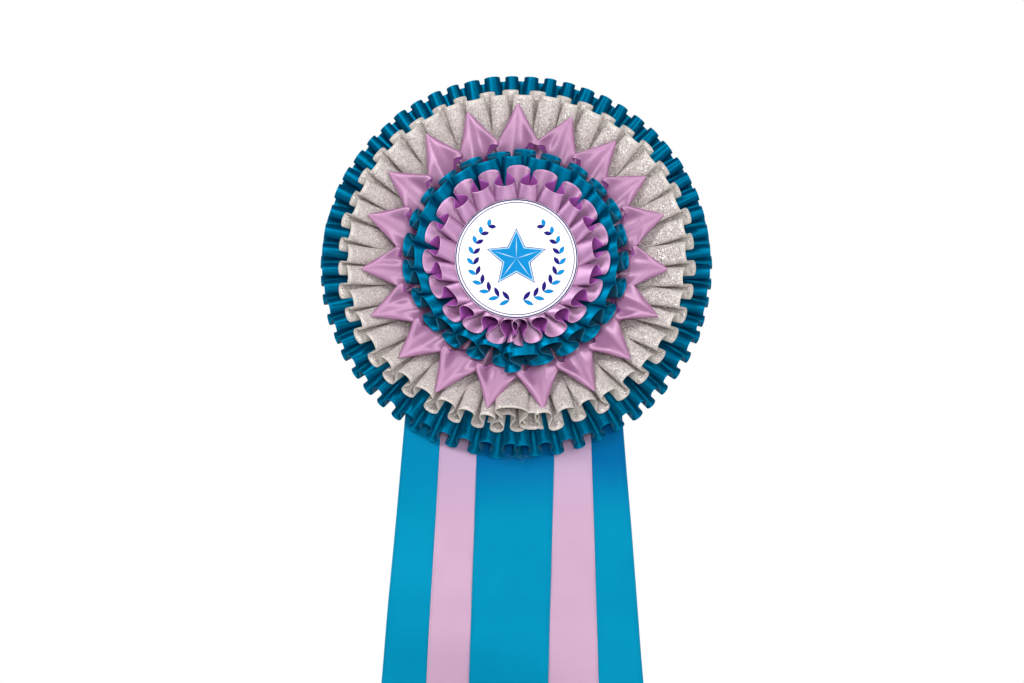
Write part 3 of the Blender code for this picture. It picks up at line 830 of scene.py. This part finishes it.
def print_paper(name, base, rough=0.42, gloss=0.15):
    """Coated paper or its ink, with the faint tooth of print."""
    n = Nodes(name)
    coordinates = n.add("ShaderNodeTexCoord").outputs["Object"]
    tooth = n.noise(coordinates, 2600, 2.0)
    cloud = n.noise(coordinates, 45, 2.0)
    shade = tuple(0.97 * value for value in base[:3]) + (1.0,)
    n.shade(
        Base_Color=n.mix(cloud, shade, base),
        Roughness=n.math("MULTIPLY_ADD", tooth, 0.1, rough - 0.05),
        Coat_Weight=gloss, Coat_Roughness=0.3, Specular_IOR_Level=gloss,
        Normal=n.bump(tooth, 0.08, 0.00005),
    )
    return n.material


def plated_steel(name):
    """Bright plated wire and sheet, with drawing marks and small dull patches."""
    n = Nodes(name)
    coordinates = n.add("ShaderNodeTexCoord").outputs["Object"]
    marks = n.noise(n.stretch(coordinates, 300, 4000, 4000), 1.0, 3.0)
    dull = n.noise(coordinates, 350, 3.0)
    n.shade(
        Base_Color=n.mix(dull, colour(178, 178, 176), colour(222, 222, 224)), Metallic=1.0,
        Roughness=n.math("MULTIPLY_ADD", dull, 0.25, 0.12), Normal=n.bump(marks, 0.12, 0.00005),
    )
    return n.material


def thread(name, base):
    """Sewing thread: a twist of plies."""
    n = Nodes(name)
    coordinates = n.add("ShaderNodeTexCoord").outputs["Object"]
    twist = n.noise(coordinates, 1500, 2.0)
    dark = tuple(0.6 * value for value in base[:3]) + (1.0,)
    n.shade(Base_Color=n.mix(twist, dark, base), Roughness=0.7, Sheen_Weight=0.3,
            Normal=n.bump(twist, 0.6, 0.0003))
    return n.material


def foam(name):
    """White foam with small cells."""
    n = Nodes(name)
    coordinates = n.add("ShaderNodeTexCoord").outputs["Object"]
    cells = n.add("ShaderNodeTexVoronoi", in_0=coordinates, in_2=900.0)
    n.shade(
        Base_Color=n.mix(cells.outputs[0], colour(214, 214, 210), colour(240, 240, 238)),
        Roughness=0.95, Normal=n.bump(cells.outputs[0], 0.5, 0.0003),
    )
    return n.material


def make_materials():
    """All finishes by name. Those of cards, pads, threads and steel are the CAD's slot names."""
    return {
        "teal_face": satin(
            "teal_face", colour(0, 64, 97), colour(0, 46, 77), colour(0, 182, 235), 0.55, 0.6),
        "teal_back": woven_back("teal_back", colour(0, 92, 122), colour(0, 74, 104)),
        "lilac_face": satin(
            "lilac_face", colour(166, 108, 158), colour(146, 90, 140), colour(250, 208, 242),
            0.54, 0.65),
        "lilac_points": satin(
            "lilac_points", colour(172, 120, 160), colour(156, 104, 146), colour(250, 212, 238),
            0.56, 0.5),
        # The back's stronger magenta is partly its own colour and partly painted light: the deepening
        # that light bouncing inside the lilac folds gives.
        "lilac_back": woven_back("lilac_back", colour(176, 92, 178), colour(160, 76, 164)),
        "teal_tail_back": woven_back("teal_tail_back", colour(0, 116, 158), colour(0, 102, 146)),
        "lilac_tail_back": woven_back(
            "lilac_tail_back", colour(182, 146, 174), colour(170, 134, 164)),
        # Painted light: the teal tails use the rings' teal satin with a much brighter base colour as
        # painted sheen, in two copies whose tops carry deep or faint painted shade.
        "teal_tail": satin(
            "teal_tail", colour(0, 130, 166), colour(0, 118, 156), colour(30, 180, 220),
            0.6, 0.3, painted_shade=colour(0, 74, 136)),
        "teal_tail_lit": satin(
            "teal_tail_lit", colour(0, 130, 166), colour(0, 118, 156), colour(30, 180, 220),
            0.6, 0.3, painted_shade=colour(0, 112, 156)),
        # Painted shade: the lilac tails are darkened towards their top.
        "lilac_tail": satin(
            "lilac_tail", colour(190, 154, 180), colour(180, 143, 171), colour(235, 210, 232),
            0.6, 0.3, painted_shade=colour(172, 144, 176)),
        "glitter_face": glitter("glitter_face"),
        "glitter_back": woven_back(
            "glitter_back", colour(214, 208, 200), colour(196, 189, 182), 0.85),
        "grey_board": pulp_board("grey_board", colour(176, 170, 160), colour(128, 122, 112)),
        "white_board": pulp_board(
            "white_board", colour(244, 243, 240), colour(222, 220, 214), 0.75),
        "white_print": print_paper("white_print", colour(254, 254, 254)),
        "sky_ink": print_paper("sky_ink", colour(16, 134, 196), 0.6, 0.03),
        "navy_ink": print_paper("navy_ink", colour(34, 26, 112), 0.6, 0.03),
        "pale_ink": print_paper("pale_ink", colour(170, 208, 236), 0.6, 0.03),
        "white_foam": foam("white_foam"),
        "bright_steel": plated_steel("bright_steel"),
        "teal_thread": thread("teal_thread", colour(0, 110, 150)),
        "lilac_thread": thread("lilac_thread", colour(190, 150, 188)),
        "grey_thread": thread("grey_thread", colour(180, 176, 172)),
    }


def dress_cad():
    """Gives every CAD node that stays in view its finished material."""
    slots = {entry["node"]: entry["material_slot"] for entry in frame["record"]["subparts"]}
    for node, piece in frame["nodes"].items():
        if slots[node] in MATERIALS:
            piece.data.materials.clear()
            piece.data.materials.append(MATERIALS[slots[node]])


# ---------------------------------------------------------------- studio

# Area lights: place, target, width and height in metres, then power in watts.
LIGHTS = {
    "key": ((-0.50, -1.35, 0.62), (0, 0, 0), (0.42, 0.42), 13.5),
    "right_fill": ((0.75, -1.4, 0.25), (0, 0, -0.05), (0.25, 0.6), 6),
    "low_fill": ((0.10, -1.5, -0.20), (0, 0, -0.05), (0.25, 0.22), 6.0),
    "rear_fill": ((0.3, 1.6, 0.9), (0, 0, 0), (1.4, 1.0), 26),
}
SURROUND = 0.24               # strength of the light from all round
FLOOR_GLOW = 0.72             # glow that only the camera sees on the floor
FLOOR_SIZE = 30               # metres
VIEW_DISTANCE = 1.6           # metres
VIEW_BELOW = 14.0             # degrees by which the camera is under the centre of the rosette
VIEW_PITCH = 12.16            # degrees by which it looks up
VIEW_TURN = 0.10              # degrees by which it looks to the left
VIEW_LENS = 91.0


def add_light(name, location, target, size, power):
    """A rectangular soft light that faces its target."""
    light = bpy.data.lights.new(name, "AREA")
    light.shape = "RECTANGLE"
    light.size, light.size_y = size
    light.energy = power
    lamp = bpy.data.objects.new(name, light)
    lamp.location = location
    lamp.rotation_euler = (Vector(target) - Vector(location)).to_track_quat("-Z", "Y").to_euler()
    bpy.context.scene.collection.objects.link(lamp)


def add_world():
    """A soft pale surround that the camera sees as white."""
    world = bpy.data.worlds.new("studio")
    bpy.context.scene.world = world
    world.use_nodes = True
    nodes, links = world.node_tree.nodes, world.node_tree.links
    nodes.clear()
    seen = nodes.new("ShaderNodeBackground")
    seen.inputs["Color"].default_value = (1, 1, 1, 1)
    seen.inputs["Strength"].default_value = 1.0
    soft = nodes.new("ShaderNodeBackground")
    soft.inputs["Color"].default_value = (0.97, 0.985, 1, 1)
    soft.inputs["Strength"].default_value = SURROUND
    path = nodes.new("ShaderNodeLightPath")
    mixed = nodes.new("ShaderNodeMixShader")
    output = nodes.new("ShaderNodeOutputWorld")
    links.new(path.outputs["Is Camera Ray"], mixed.inputs["Fac"])
    links.new(soft.outputs[0], mixed.inputs[1])
    links.new(seen.outputs[0], mixed.inputs[2])
    links.new(mixed.outputs[0], output.inputs["Surface"])


def add_floor(low):
    """A plain pale floor just under the lowest point of the CAD model."""
    bpy.ops.mesh.primitive_plane_add(size=FLOOR_SIZE, location=(0, 0, low.z - 0.5 * MM))
    floor = bpy.context.object
    floor.name = "studio_floor"
    n = Nodes("studio_floor")
    coordinates = n.add("ShaderNodeTexCoord").outputs["Object"]
    path = n.add("ShaderNodeLightPath")
    n.shade(
        Base_Color=n.mix(n.noise(coordinates, 3.0), (0.86, 0.86, 0.86, 1), (0.9, 0.9, 0.9, 1)),
        Roughness=0.8, Emission_Color=(1, 1, 1, 1),
        Emission_Strength=n.math("MULTIPLY", path.outputs["Is Camera Ray"], FLOOR_GLOW),
    )
    floor.data.materials.append(n.material)


def add_camera():
    """Looks up at the rosette from below it."""
    camera = bpy.data.cameras.new("camera")
    camera.lens = VIEW_LENS
    camera.sensor_width = 36
    camera.clip_end = 50
    view = bpy.data.objects.new("camera", camera)
    below = math.radians(VIEW_BELOW)
    centre = -heights("centre_print")[1] * MM
    view.location = (0, centre - VIEW_DISTANCE * math.cos(below), -VIEW_DISTANCE * math.sin(below))
    view.rotation_euler = (math.radians(90 + VIEW_PITCH), 0, math.radians(VIEW_TURN))
    bpy.context.scene.collection.objects.link(view)
    bpy.context.scene.camera = view


def add_studio(low):
    """A pale floor and surround, soft lights and the camera."""
    add_world()
    add_floor(low)
    for name, settings in LIGHTS.items():
        add_light(name, *settings)
    add_camera()
    bpy.context.scene.view_settings.view_transform = "Standard"
    bpy.context.scene.view_settings.look = "None"


# ---------------------------------------------------------------- the award rosette

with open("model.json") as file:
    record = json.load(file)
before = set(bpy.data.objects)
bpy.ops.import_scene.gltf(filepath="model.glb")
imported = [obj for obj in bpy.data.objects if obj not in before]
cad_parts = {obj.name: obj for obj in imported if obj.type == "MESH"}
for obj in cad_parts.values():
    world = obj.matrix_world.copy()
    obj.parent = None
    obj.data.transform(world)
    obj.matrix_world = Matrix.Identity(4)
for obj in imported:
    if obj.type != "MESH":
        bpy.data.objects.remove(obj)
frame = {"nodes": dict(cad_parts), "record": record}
cad_low, cad_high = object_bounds()
MATERIALS = make_materials()
dress_cad()
for tier_name in RINGS:
    pleated_ring(tier_name)
frayed_threads()
folded_points()
# The left teal tail has the copy with faint painted shade at its top; the other teal tails have the
# deep one.
hanging_tail("tail_left_teal", 0, "teal_tail_lit", "teal_tail_back")
hanging_tail("tail_right_teal", 0, "teal_tail", "teal_tail_back")
hanging_tail("tail_left_lilac", 1, "lilac_tail", "lilac_tail_back")
hanging_tail("tail_right_lilac", 1, "lilac_tail", "lilac_tail_back")
hanging_tail("tail_centre_teal", 2, "teal_tail", "teal_tail_back")
round_card("centre_board", "white_board", 0.4)
round_card("centre_print", "white_print", 0.08)
centre_emblem()
add_studio(cad_low)
